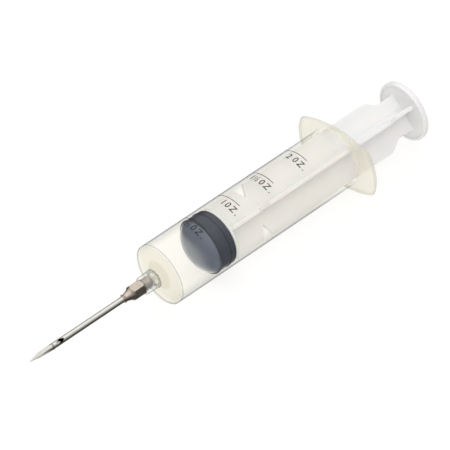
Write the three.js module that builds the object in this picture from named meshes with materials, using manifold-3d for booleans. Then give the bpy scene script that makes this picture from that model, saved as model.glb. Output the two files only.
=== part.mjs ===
// A meat injector: a large marinade syringe with a screw-on needle.
// Millimetres. +X runs along the axis from the needle's point to the thumb rest, +Y along the
// finger flange, and +Z points up from the table that the injector lies on.

import * as THREE from 'three';
import { mergeVertices } from 'three/addons/utils/BufferGeometryUtils.js';
import Module from 'manifold-3d';

const wasm = await Module();
wasm.setup();

// ---- Driving dimensions. Stations along the axis start at the barrel's front edge. ----

const GAP = 0.3;
// How far joined solids run into each other, and how far cutters reach past a face.
const OVERLAP = 0.5;

const BARREL = {
  radius: 15.9,
  wall: 1.2,
  frontWall: 2.2,
  coneDepth: 2.5,
  coneTopRadius: 5.3,
  edge: 0.6,
  bossRadius: 3.0,
  bossLength: 1.5,
  passageRadius: 1.0,
  end: 116.7,
  stopStation: 111.7,
  stopHeight: 0.4,
  stopWidth: 1.2,
};

const FLANGE = {
  thickness: 2.2,
  halfLength: 26.4,
  halfWidth: 17.1,
  sideRadius: 59,
  corner: 1.8,
  fillet: 1.0,
};

const COLLAR = { length: 7.8, baseRadius: 5.05, frontRadius: 4.6, rim: 0.4 };

const THREAD = { pitch: 1.4, depth: 0.5, rootRadius: 2.5, fade: 0.7, stepsPerPitch: 8 };

const SEAL = {
  front: 26.8,
  secondLip: 33.1,
  end: 36.7,
  lipRadius: 14.4,
  bodyRadius: 14.0,
  lipWidth: 1.1,
  noseLength: 5.6,
  noseFlatRadius: 4.0,
  noseShoulderLength: 3.8,
  noseShoulderRadius: 10.0,
  edge: 0.5,
};

const SNAP_HEAD = {
  radius: 5.4,
  leadIn: 1.4,
  thickness: 3.2,
  neckRadius: 3.5,
  neckLength: 4.0,
};

const ROD = {
  ribRadius: 13.9,
  ribThickness: 2.2,
  ribEdge: 1,
  guideThickness: 1.6,
  guideRadius: 13.5,
  notchFront: 57.2,
  notchApex: 60.7,
  notchBack: 63.0,
  notchRadius: 7.5,
  shoulder: 141,
  waist: 150.4,
  waistRadius: 9.7,
  ease: 4.2,
  foot: 1.5,
};

const THUMB = { front: 159.1, back: 161.9, radius: 15.9, edge: 0.7 };

const HUB = {
  acrossFlats: 7.2,
  hexLength: 6.8,
  chamfer: 0.9,
  neckLength: 4.9,
  neckRadius: 2.05,
  beadRadius: 2.35,
  beadFlat: 0.5,
  beadSlope: 0.3,
  shoulderRadius: 3.3,
  shoulderSetback: 2.0,
  tailLength: 5.4,
  tailChamfer: 0.3,
  boreRadius: 1.2,
  solderGap: 0.12,
  socketDepth: 5.5,
};

const WASHER = { radius: 2.45, thickness: 1.0, holeRadius: 1.1 };

const NEEDLE = {
  radius: 1.55,
  wall: 0.4,
  point: -80.5,
  seam: -66.2,
  facetAngle: THREE.MathUtils.degToRad(6.5),
  plugRadius: 0.85,
  plugLength: 1.6,
  holeStation: -61.7,
  holeLength: 4.3,
  holeWidth: 2.1,
};

// Angles round the axis, from +Y towards +Z.
const RIB_ANGLE = THREE.MathUtils.degToRad(49);
const HEX_ANGLE = THREE.MathUtils.degToRad(135);
const HOLE_ANGLE = THREE.MathUtils.degToRad(125);
const POINT_EDGE_ANGLE = THREE.MathUtils.degToRad(150);

const COARSE = 24;
const FINE = 36;
const ROUND = 64;

// ---- Shape helpers ----

// Profile points are [radius, station]; they go anticlockwise round the solid's half section
// when stations run to the right and radii up, so that the faces point out.
function turned(profile, segments) {
  const points = profile.map(([radius, station]) => new THREE.Vector2(radius, station));
  const geometry = new THREE.LatheGeometry(points, segments);
  geometry.rotateZ(-Math.PI / 2);
  return welded(geometry);
}

// Keeps positions only, with shared corners merged and collapsed triangles dropped.
function welded(geometry) {
  const bare = geometry.clone();
  bare.deleteAttribute('normal');
  bare.deleteAttribute('uv');
  const merged = mergeVertices(bare, 1e-4);
  const index = merged.index.array;
  const kept = [];
  for (let i = 0; i < index.length; i += 3) {
    const [a, b, c] = [index[i], index[i + 1], index[i + 2]];
    if (a !== b && b !== c && c !== a) {
      kept.push(a, b, c);
    }
  }
  merged.setIndex(kept);
  return merged;
}

function toSolid(geometry) {
  const closed = welded(geometry);
  const mesh = new wasm.Mesh({
    numProp: 3,
    vertProperties: new Float32Array(closed.attributes.position.array),
    triVerts: new Uint32Array(closed.index.array),
  });
  return new wasm.Manifold(mesh);
}

function toGeometry(solid) {
  const mesh = solid.getMesh();
  const geometry = new THREE.BufferGeometry();
  geometry.setAttribute('position', new THREE.BufferAttribute(mesh.vertProperties, 3));
  geometry.setIndex(new THREE.BufferAttribute(mesh.triVerts, 1));
  return geometry;
}

// Points along an arc about [centreRadius, centreStation], angles in degrees from +radius.
function arc(centreRadius, centreStation, size, fromDegrees, toDegrees, steps) {
  const points = [];
  for (let i = 0; i <= steps; i += 1) {
    const angle = THREE.MathUtils.degToRad(fromDegrees + ((toDegrees - fromDegrees) * i) / steps);
    points.push([centreRadius + size * Math.cos(angle), centreStation + size * Math.sin(angle)]);
  }
  return points;
}

// Points every part of a pitch along a straight threaded stretch of a profile.
function threadStretch(radius, from, to) {
  const steps = Math.round((Math.abs(to - from) / THREAD.pitch) * THREAD.stepsPerPitch);
  return Array.from({ length: steps + 1 }, (_, i) => [radius, from + ((to - from) * i) / steps]);
}

// Raises a right-hand helical thread on the wall of the given radius between two stations.
// A negative depth raises it inwards, half a pitch on, so that the two threads mesh.
function raiseThread(geometry, radius, from, to, depth) {
  const position = geometry.attributes.position;
  const phaseShift = depth < 0 ? 0.5 : 0;
  for (let i = 0; i < position.count; i += 1) {
    const [x, y, z] = [position.getX(i), position.getY(i), position.getZ(i)];
    const onWall = Math.abs(Math.hypot(y, z) - radius) < 0.01 && x >= from && x <= to;
    if (onWall) {
      const turns = x / THREAD.pitch - Math.atan2(z, y) / (2 * Math.PI) + phaseShift;
      const ridge = 0.5 + 0.5 * Math.cos(2 * Math.PI * turns);
      const ends = Math.min(1, (x - from) / THREAD.fade, (to - x) / THREAD.fade);
      const scale = (radius + depth * ridge * ends) / radius;
      position.setXYZ(i, x, y * scale, z * scale);
    }
  }
  return geometry;
}

function named(name, geometry, look) {
  const mesh = new THREE.Mesh(welded(geometry), new THREE.MeshStandardMaterial(look));
  mesh.name = name;
  return mesh;
}

// ---- Barrel, finger flange and nozzle boss ----

const boreRadius = BARREL.radius - BARREL.wall;
const coneSlope = BARREL.coneDepth / (BARREL.radius - BARREL.coneTopRadius);
const bossFront = -BARREL.coneDepth - BARREL.bossLength;

function coneStation(radius) {
  return -(BARREL.radius - radius) * coneSlope;
}

function insideConeStation(radius) {
  return coneStation(radius) + BARREL.frontWall * Math.hypot(1, coneSlope);
}

function barrelTube() {
  const stopFront = BARREL.stopStation - BARREL.stopWidth / 2;
  const stopBack = BARREL.stopStation + BARREL.stopWidth / 2;
  const stopRadius = boreRadius - BARREL.stopHeight;
  const stopSlope = BARREL.stopHeight;
  const flangeFront = BARREL.end - FLANGE.thickness;
  const edgeRadius = BARREL.radius - BARREL.edge;
  return turned([
    [BARREL.passageRadius, bossFront],
    [BARREL.bossRadius, bossFront],
    [BARREL.bossRadius, -BARREL.coneDepth],
    [BARREL.coneTopRadius, -BARREL.coneDepth],
    [edgeRadius, coneStation(edgeRadius)],
    [BARREL.radius, BARREL.edge],
    [BARREL.radius, flangeFront - FLANGE.fillet],
    ...arc(BARREL.radius + FLANGE.fillet, flangeFront - FLANGE.fillet, FLANGE.fillet, 180, 90, 4),
    [BARREL.radius + FLANGE.fillet, BARREL.end - FLANGE.thickness / 2],
    [BARREL.radius, BARREL.end],
    [boreRadius, BARREL.end],
    [boreRadius, stopBack],
    [stopRadius, stopBack - stopSlope],
    [stopRadius, stopFront + stopSlope],
    [boreRadius, stopFront],
    [boreRadius, insideConeStation(boreRadius)],
    [BARREL.passageRadius, insideConeStation(BARREL.passageRadius)],
    [BARREL.passageRadius, bossFront],
  ], ROUND);
}

// The flange is a disc with two flatter sides: four rounded corners join the arcs.
function flangeOutline() {
  const sideCentre = FLANGE.sideRadius - FLANGE.halfWidth;
  const endReach = FLANGE.halfLength - FLANGE.corner;
  const sideReach = FLANGE.sideRadius - FLANGE.corner;
  const cornerV = (sideReach ** 2 - endReach ** 2 - sideCentre ** 2) / (2 * sideCentre);
  const cornerU = Math.sqrt(endReach ** 2 - cornerV ** 2);
  const endAngle = Math.atan2(cornerV, cornerU);
  const sideAngle = Math.atan2(cornerV + sideCentre, cornerU);
  const outline = new THREE.Shape();
  outline.absarc(0, 0, FLANGE.halfLength, -endAngle, endAngle);
  outline.absarc(cornerU, cornerV, FLANGE.corner, endAngle, sideAngle);
  outline.absarc(0, -sideCentre, FLANGE.sideRadius, sideAngle, Math.PI - sideAngle);
  outline.absarc(-cornerU, cornerV, FLANGE.corner, Math.PI - sideAngle, Math.PI - endAngle);
  outline.absarc(0, 0, FLANGE.halfLength, Math.PI - endAngle, Math.PI + endAngle);
  outline.absarc(-cornerU, -cornerV, FLANGE.corner, Math.PI + endAngle, Math.PI + sideAngle);
  outline.absarc(0, sideCentre, FLANGE.sideRadius, Math.PI + sideAngle, 2 * Math.PI - sideAngle);
  outline.absarc(cornerU, -cornerV, FLANGE.corner, -sideAngle, -endAngle);
  return outline;
}

// Stands an outline drawn in Y and Z up across the axis, from one station to another.
function acrossAxis(outline, from, to, curveSegments) {
  const geometry = new THREE.ExtrudeGeometry(outline, {
    depth: to - from,
    bevelEnabled: false,
    curveSegments,
  });
  const basis = new THREE.Matrix4().makeBasis(
    new THREE.Vector3(0, 1, 0),
    new THREE.Vector3(0, 0, 1),
    new THREE.Vector3(1, 0, 0),
  );
  geometry.applyMatrix4(basis);
  geometry.translate(from, 0, 0);
  return geometry;
}

function barrelGeometry() {
  const flangePlate = toSolid(
    acrossAxis(flangeOutline(), BARREL.end - FLANGE.thickness, BARREL.end, 14),
  );
  const mouthFront = BARREL.end - FLANGE.thickness - OVERLAP;
  const mouth = toSolid(turned([
    [0, mouthFront],
    [boreRadius, mouthFront],
    [boreRadius, BARREL.end + OVERLAP],
    [0, BARREL.end + OVERLAP],
  ], ROUND));
  return toGeometry(flangePlate.subtract(mouth).add(toSolid(barrelTube())));
}

// ---- Clear threaded collar on the nozzle ----

const collarBack = -BARREL.coneDepth - GAP;
const collarFront = collarBack - COLLAR.length;
const femaleRoot = THREAD.rootRadius + THREAD.depth + GAP;

function collarGeometry() {
  const threadEnd = bossFront - WASHER.thickness + GAP;
  const threadStart = collarFront + COLLAR.rim;
  const geometry = turned([
    [femaleRoot + COLLAR.rim, collarFront],
    [COLLAR.frontRadius - COLLAR.rim, collarFront],
    [COLLAR.frontRadius, collarFront + COLLAR.rim],
    [COLLAR.baseRadius, collarBack - COLLAR.rim],
    [COLLAR.baseRadius, collarBack],
    [femaleRoot, collarBack],
    ...threadStretch(femaleRoot, threadEnd, threadStart),
    [femaleRoot + COLLAR.rim, collarFront],
  ], COARSE);
  return raiseThread(geometry, femaleRoot, threadStart, threadEnd, -THREAD.depth);
}

// ---- Needle: hub with a hexagon and a threaded tail, tube with a side hole, solid point ----

const washerBack = bossFront - GAP;
const tailEnd = washerBack - WASHER.thickness - GAP;
const hexBack = tailEnd - HUB.tailLength;
const hexFront = hexBack - HUB.hexLength;
const hubFront = hexFront - HUB.neckLength;
const tubeEnd = hubFront + HUB.socketDepth;

function washerGeometry() {
  const washerFront = washerBack - WASHER.thickness;
  return turned([
    [WASHER.holeRadius, washerFront],
    [WASHER.radius, washerFront],
    [WASHER.radius, washerBack],
    [WASHER.holeRadius, washerBack],
    [WASHER.holeRadius, washerFront],
  ], COARSE);
}

function hubGeometry() {
  const { neckRadius, beadRadius, beadFlat, beadSlope, shoulderRadius, chamfer } = HUB;
  const cornerRadius = HUB.acrossFlats / Math.sqrt(3);
  const root = THREAD.rootRadius;
  const neckCurve = shoulderRadius - neckRadius;
  const threadEnd = tailEnd - HUB.tailChamfer;
  const stem = raiseThread(turned([
    [0, hubFront],
    [neckRadius, hubFront],
    [beadRadius, hubFront + beadSlope],
    [beadRadius, hubFront + beadSlope + beadFlat],
    [neckRadius, hubFront + beadSlope + beadFlat + beadSlope],
    ...arc(shoulderRadius, hexFront - HUB.shoulderSetback, neckCurve, 180, 110, 5),
    [shoulderRadius, hexFront],
    [shoulderRadius, hexBack - OVERLAP],
    [root, hexBack - OVERLAP],
    ...threadStretch(root, hexBack, threadEnd),
    [root - HUB.tailChamfer, tailEnd],
    [0, tailEnd],
  ], COARSE), root, hexBack, threadEnd, THREAD.depth);
  const prism = new THREE.CylinderGeometry(cornerRadius, cornerRadius, HUB.hexLength, 6);
  prism.rotateZ(-Math.PI / 2);
  prism.rotateX(HEX_ANGLE - Math.PI / 2);
  prism.translate((hexFront + hexBack) / 2, 0, 0);
  const turnedEnds = turned([
    [0, hexFront],
    [cornerRadius - chamfer, hexFront],
    [cornerRadius, hexFront + chamfer],
    [cornerRadius, hexBack - chamfer / 2],
    [cornerRadius - chamfer / 2, hexBack],
    [0, hexBack],
  ], FINE);
  const socketRadius = NEEDLE.radius + HUB.solderGap;
  const bore = turned([
    [0, hubFront - OVERLAP],
    [socketRadius, hubFront - OVERLAP],
    [socketRadius, tubeEnd + GAP],
    [HUB.boreRadius, tubeEnd + GAP],
    [HUB.boreRadius, tailEnd + OVERLAP],
    [0, tailEnd + OVERLAP],
  ], COARSE);
  const hexagon = toSolid(prism).intersect(toSolid(turnedEnds));
  return toGeometry(toSolid(stem).add(hexagon).subtract(toSolid(bore)));
}

function tubeGeometry() {
  const inner = NEEDLE.radius - NEEDLE.wall;
  const tube = turned([
    [inner, NEEDLE.seam],
    [NEEDLE.radius, NEEDLE.seam],
    [NEEDLE.radius, tubeEnd],
    [inner, tubeEnd],
    [inner, NEEDLE.seam],
  ], COARSE);
  const slot = new THREE.Shape();
  slot.absellipse(0, 0, NEEDLE.holeLength / 2, NEEDLE.holeWidth / 2, 0, 2 * Math.PI);
  const cutter = new THREE.ExtrudeGeometry(slot, {
    depth: NEEDLE.radius + OVERLAP,
    bevelEnabled: false,
    curveSegments: 10,
  });
  cutter.rotateX(HOLE_ANGLE - Math.PI / 2);
  cutter.translate(NEEDLE.holeStation, 0, 0);
  return toGeometry(toSolid(tube).subtract(toSolid(cutter)));
}

// Three flat facets meet at the point, ground on the solid end of the needle.
function pointGeometry() {
  const shoulder = NEEDLE.seam - GAP;
  const blank = turned([
    [0, NEEDLE.point - OVERLAP],
    [NEEDLE.radius, NEEDLE.point - OVERLAP],
    [NEEDLE.radius, shoulder],
    [NEEDLE.plugRadius, shoulder],
    [NEEDLE.plugRadius, shoulder + NEEDLE.plugLength],
    [0, shoulder + NEEDLE.plugLength],
  ], COARSE);
  // The pyramid is twice as long as the ground end, so that its base stays clear of it.
  const height = 2 * (shoulder - NEEDLE.point);
  const pyramidRadius = 2 * height * Math.tan(NEEDLE.facetAngle);
  const pyramid = new THREE.ConeGeometry(pyramidRadius, height, 3);
  pyramid.rotateZ(Math.PI / 2);
  pyramid.rotateX(POINT_EDGE_ANGLE - Math.PI / 2);
  pyramid.translate(NEEDLE.point + height / 2, 0, 0);
  return toGeometry(toSolid(blank).intersect(toSolid(pyramid)));
}

// ---- Plunger: rubber seal snapped over the head of a cross-ribbed rod ----

const neckBack = SEAL.end + GAP;
const headBack = neckBack - SNAP_HEAD.neckLength;
const headFront = headBack - SNAP_HEAD.thickness;

function sealGeometry() {
  const lip = (station) => [
    [SEAL.bodyRadius, station - SEAL.lipWidth / 2],
    [SEAL.lipRadius, station],
    [SEAL.bodyRadius, station + SEAL.lipWidth / 2],
  ];
  const neckHole = SNAP_HEAD.neckRadius + GAP;
  const headHole = SNAP_HEAD.radius + GAP;
  return turned([
    [0, SEAL.front - SEAL.noseLength],
    [SEAL.noseFlatRadius, SEAL.front - SEAL.noseLength],
    [SEAL.noseShoulderRadius, SEAL.front - SEAL.noseShoulderLength],
    [SEAL.lipRadius, SEAL.front],
    [SEAL.bodyRadius, SEAL.front + SEAL.lipWidth],
    ...lip(SEAL.secondLip),
    [SEAL.bodyRadius, SEAL.end - SEAL.edge],
    [SEAL.bodyRadius - SEAL.edge, SEAL.end],
    [neckHole, SEAL.end],
    [neckHole, headBack + GAP],
    [headHole, headBack + GAP],
    [headHole, headFront - GAP],
    [0, headFront - GAP],
  ], ROUND);
}

// Half of a rib's outline, from the guide disc to the thumb disc, mirrored across the axis.
function ribOutline() {
  const { ribRadius, ribEdge, waist, waistRadius, shoulder, ease, foot } = ROD;
  const edge = new THREE.Path();
  edge.moveTo(neckBack + OVERLAP, ribRadius - ribEdge);
  edge.lineTo(neckBack + OVERLAP + ribEdge, ribRadius);
  edge.lineTo(ROD.notchFront, ribRadius);
  edge.lineTo(ROD.notchApex, ROD.notchRadius);
  edge.lineTo(ROD.notchBack, ribRadius);
  edge.lineTo(shoulder, ribRadius);
  edge.bezierCurveTo(shoulder + ease, ribRadius, waist - ease, waistRadius, waist, waistRadius);
  edge.lineTo(THUMB.front - foot, waistRadius);
  edge.lineTo(THUMB.front + OVERLAP, waistRadius + foot);
  const upper = edge.getPoints(10);
  const lower = upper.map((point) => new THREE.Vector2(point.x, -point.y)).reverse();
  return new THREE.Shape([...upper, ...lower]);
}

function rib(angle) {
  const geometry = new THREE.ExtrudeGeometry(ribOutline(), {
    depth: ROD.ribThickness,
    bevelEnabled: false,
  });
  geometry.translate(0, 0, -ROD.ribThickness / 2);
  geometry.rotateX(angle);
  return toSolid(geometry);
}

function rodGeometry() {
  const head = turned([
    [0, headFront],
    [SNAP_HEAD.radius - SNAP_HEAD.leadIn, headFront],
    [SNAP_HEAD.radius, headFront + SNAP_HEAD.leadIn],
    [SNAP_HEAD.radius, headBack],
    [SNAP_HEAD.neckRadius, headBack],
    [SNAP_HEAD.neckRadius, neckBack],
    [ROD.guideRadius, neckBack],
    [ROD.guideRadius, neckBack + ROD.guideThickness],
    [0, neckBack + ROD.guideThickness],
  ], FINE);
  const thumbDisc = turned([
    [0, THUMB.front],
    [THUMB.radius - THUMB.edge, THUMB.front],
    [THUMB.radius, THUMB.front + THUMB.edge],
    [THUMB.radius, THUMB.back - THUMB.edge],
    [THUMB.radius - THUMB.edge, THUMB.back],
    [0, THUMB.back],
  ], ROUND);
  const ribs = rib(RIB_ANGLE).add(rib(RIB_ANGLE + Math.PI / 2));
  return toGeometry(ribs.add(toSolid(head)).add(toSolid(thumbDisc)));
}

// ---- The assembly, lying on its flange with the middle of its length at the origin ----

const injector = new THREE.Group();
injector.position.set(-(NEEDLE.point + THUMB.back) / 2, 0, FLANGE.halfWidth);

injector.add(
  named('barrel', barrelGeometry(), { color: '#f3f1ec', roughness: 0.35 }),
  named('lock_collar', collarGeometry(), { color: '#eef1f2', roughness: 0.12 }),
  named('hub_washer', washerGeometry(), { color: '#c9c4bc', roughness: 0.7 }),
  named('needle_hub', hubGeometry(), { color: '#b8aea4', roughness: 0.28, metalness: 1 }),
  named('needle_tube', tubeGeometry(), { color: '#c9cac8', roughness: 0.18, metalness: 1 }),
  named('needle_point', pointGeometry(), { color: '#c9cac8', roughness: 0.15, metalness: 1 }),
  named('piston_seal', sealGeometry(), { color: '#4e5564', roughness: 0.55 }),
  named('plunger_rod', rodGeometry(), { color: '#ecebe8', roughness: 0.4 }),
);

const model = new THREE.Group();
model.add(injector);

export default model;
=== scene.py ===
"""The looks of a meat injector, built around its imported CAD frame.

Shapes are given in millimetres: a station along the axis, which is 0 at the barrel's front edge and
grows towards the thumb disc, then Y and Z across the axis. place() turns them into the frame's
metres. A profile is a list of (radius, station, rounding) points, for softened().
"""

import math

import bpy
from mathutils import Matrix, Vector


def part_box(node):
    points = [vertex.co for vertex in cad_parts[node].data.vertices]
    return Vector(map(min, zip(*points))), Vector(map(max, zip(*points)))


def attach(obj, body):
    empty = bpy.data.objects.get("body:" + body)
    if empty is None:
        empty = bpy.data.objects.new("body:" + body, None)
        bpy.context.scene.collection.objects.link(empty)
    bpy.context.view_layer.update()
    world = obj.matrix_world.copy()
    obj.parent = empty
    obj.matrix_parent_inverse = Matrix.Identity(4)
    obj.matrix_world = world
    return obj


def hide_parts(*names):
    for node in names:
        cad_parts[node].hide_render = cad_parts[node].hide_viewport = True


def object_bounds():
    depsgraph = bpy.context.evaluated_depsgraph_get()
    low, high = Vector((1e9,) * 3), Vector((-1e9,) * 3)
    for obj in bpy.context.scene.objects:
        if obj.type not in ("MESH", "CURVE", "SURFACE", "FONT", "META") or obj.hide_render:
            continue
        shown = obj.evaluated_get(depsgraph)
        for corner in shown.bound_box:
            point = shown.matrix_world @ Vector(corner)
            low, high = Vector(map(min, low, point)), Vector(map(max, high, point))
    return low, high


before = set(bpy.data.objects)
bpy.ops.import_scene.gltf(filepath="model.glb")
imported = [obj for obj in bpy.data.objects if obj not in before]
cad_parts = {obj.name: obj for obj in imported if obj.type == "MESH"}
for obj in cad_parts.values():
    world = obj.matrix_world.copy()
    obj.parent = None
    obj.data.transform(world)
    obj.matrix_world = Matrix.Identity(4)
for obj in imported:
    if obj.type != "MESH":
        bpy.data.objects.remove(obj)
cad_low, cad_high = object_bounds()

# ---- Where the CAD says that things are ----

MM = 0.001
BARREL_END = 116.7

barrel_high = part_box("barrel")[1]
rod_low, rod_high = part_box("plunger_rod")
FRONT_EDGE_X = barrel_high[0] - BARREL_END * MM
AXIS_Z = (rod_low[2] + rod_high[2]) / 2


def place(station, y, z):
    return Vector((FRONT_EDGE_X + station * MM, y * MM, AXIS_Z + z * MM))


def along_x(*stations):
    """Stations as distances along the frame's X axis, in metres."""
    return [FRONT_EDGE_X + station * MM for station in stations]


# ---- Sizes, as the CAD has them, in millimetres ----

BARREL_RADIUS = 15.9
BORE_RADIUS = 14.7
CONE_DEPTH = 2.5
FRONT_WALL = 2.2
CONE_TOP_RADIUS = 5.3
CONE_SLOPE = CONE_DEPTH / (BARREL_RADIUS - CONE_TOP_RADIUS)
BOSS_FRONT, BOSS_RADIUS, BOSS_BORE_RADIUS = -4.0, 3.0, 1.0
FLANGE_FRONT = 114.5
FLANGE_HALF_LENGTH = 26.4
FLANGE_HALF_WIDTH = 17.1
FLANGE_SIDE_RADIUS = 59.0
FLANGE_CORNER = 1.8
STOP_STATION, STOP_HEIGHT = 111.7, 0.35

COLLAR_BACK, COLLAR_FRONT = -2.8, -10.6
COLLAR_RIM_RADIUS, COLLAR_RADIUS, COLLAR_FOOT_RADIUS = 4.45, 4.62, 5.05
WASHER_FRONT, WASHER_BACK = -5.3, -4.3
WASHER_BORE_RADIUS, WASHER_RADIUS = 1.1, 2.45
THREAD_PITCH = 1.4
THREAD_ROOT, THREAD_DEPTH, THREAD_GAP = 2.5, 0.5, 0.3

HUB_FRONT, HEX_FRONT, HEX_BACK, TAIL_END = -22.7, -17.8, -11.0, -5.6
HEX_FLATS = 7.2
HEX_CORNER_ANGLE = math.radians(135)
HEX_END_RADIUS = 3.3
NECK_RADIUS, NECK_GROOVE_RADIUS = 2.12, 1.72
TAIL_BORE_RADIUS, TUBE_SOCKET_RADIUS = 1.2, 1.56

NEEDLE_RADIUS, NEEDLE_WALL = 1.55, 0.4
NEEDLE_TIP, NEEDLE_SEAM, TUBE_END = -80.5, -66.2, -17.2
POINT_EDGE_ANGLE = math.radians(150)
FACET_ANGLE = math.radians(6.5)
HOLE_STATION, HOLE_ANGLE = -61.7, math.radians(125)
HOLE_HALF_LENGTH, HOLE_HALF_WIDTH = 2.15, 1.05

SEAL_FRONT, SEAL_SECOND, SEAL_END = 26.8, 33.1, 36.7
LIP_RADIUS, SEAL_SIDE_RADIUS, DOME_RADIUS = 14.67, 14.4, 13.95
POCKET_RADIUS, POCKET_MOUTH_RADIUS, POCKET_GAP = 5.7, 3.8, 0.3

HEAD_FRONT, HEAD_BACK, GUIDE_FRONT, GUIDE_BACK = 29.8, 33.0, 37.0, 38.6
HEAD_RADIUS, STEM_RADIUS, GUIDE_RADIUS = 5.4, 3.5, 13.6
RIB_RADIUS, RIB_HALF_THICKNESS, RIB_ANGLE = 13.9, 1.1, math.radians(49)
NOTCH_FRONT, NOTCH_FLOOR_FRONT, NOTCH_FLOOR_BACK, NOTCH_BACK = 57.0, 60.4, 60.9, 63.0
NOTCH_RADIUS = 7.6
WAIST_START, WAIST_END, WAIST_RADIUS = 141, 150.2, 9.7
FOOT_LENGTH, FOOT_FLARE = 2.0, 1.6
THUMB_FRONT, THUMB_BACK, THUMB_RADIUS = 159.1, 161.9, 15.9


# ---- Mesh helpers ----

SHARP_DEGREES = 32
# A ring on the axis keeps this radius, so that its points stay apart.
SMALLEST_RADIUS = 0.02


def make_piece(name, vertices, faces, material, body, nodes=(), sharp=SHARP_DEGREES):
    """A mesh object with smooth shading and sharp edges past an angle in degrees."""
    mesh = bpy.data.meshes.new(name)
    mesh.from_pydata([place(*point) for point in vertices], [], faces)
    mesh.validate()
    mesh.shade_smooth()
    mesh.set_sharp_from_angle(angle=math.radians(sharp))
    piece = bpy.data.objects.new(name, mesh)
    bpy.context.scene.collection.objects.link(piece)
    mesh.materials.append(material)
    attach(piece, body)
    if nodes:
        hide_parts(*nodes)
    return piece


def loft(rings, closed=False):
    """Vertices and faces of a skin over rings of (station, y, z) points, all of one length.

    A closed loft joins its last ring to its first; an open one is capped at its two ends.
    """
    count = len(rings[0])
    vertices = [point for ring in rings for point in ring]
    faces = []
    for i in range(len(rings) if closed else len(rings) - 1):
        here, there = i * count, (i + 1) % len(rings) * count
        for j in range(count):
            k = (j + 1) % count
            faces.append((here + j, here + k, there + k, there + j))
    if not closed:
        for ring_start, ring, flip in ((0, rings[0], True), (len(vertices) - count, rings[-1], False)):
            centre = len(vertices)
            vertices.append(tuple(sum(axis) / count for axis in zip(*ring)))
            for j in range(count):
                a, b = ring_start + j, ring_start + (j + 1) % count
                faces.append((centre, b, a) if flip else (centre, a, b))
    return vertices, faces


def circle(station, radius, count, start=0.0):
    turns = [start + 2 * math.pi * j / count for j in range(count)]
    return [(station, radius * math.cos(a), radius * math.sin(a)) for a in turns]


def softened(profile, steps=5):
    """Rounds the corners of a profile of (radius, station, rounding) points."""
    points = []
    last = len(profile) - 1
    for i, (radius, station, rounding) in enumerate(profile):
        corner = Vector((radius, station))
        if rounding == 0 or i in (0, last):
            points.append((radius, station))
            continue
        before = Vector(profile[i - 1][:2]) - corner
        after = Vector(profile[i + 1][:2]) - corner
        start = corner + before.normalized() * min(rounding, before.length * 0.48)
        end = corner + after.normalized() * min(rounding, after.length * 0.48)
        for step in range(steps + 1):
            t = step / steps
            point = start * (1 - t) ** 2 + corner * 2 * t * (1 - t) + end * t ** 2
            points.append((point.x, point.y))
    return points


def turned(profile, count, closed=False, start=0.0):
    return loft([circle(station, radius, count, start) for radius, station in profile], closed)


def along(a, b, steps):
    """Evenly spaced values from a to b, both included."""
    return [a + (b - a) * i / steps for i in range(steps + 1)]


# ---- Materials ----

# The sockets of a Mix node for two colours and for what they make.
MIX_FIRST, MIX_SECOND, MIX_RESULT = 6, 7, 2


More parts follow.
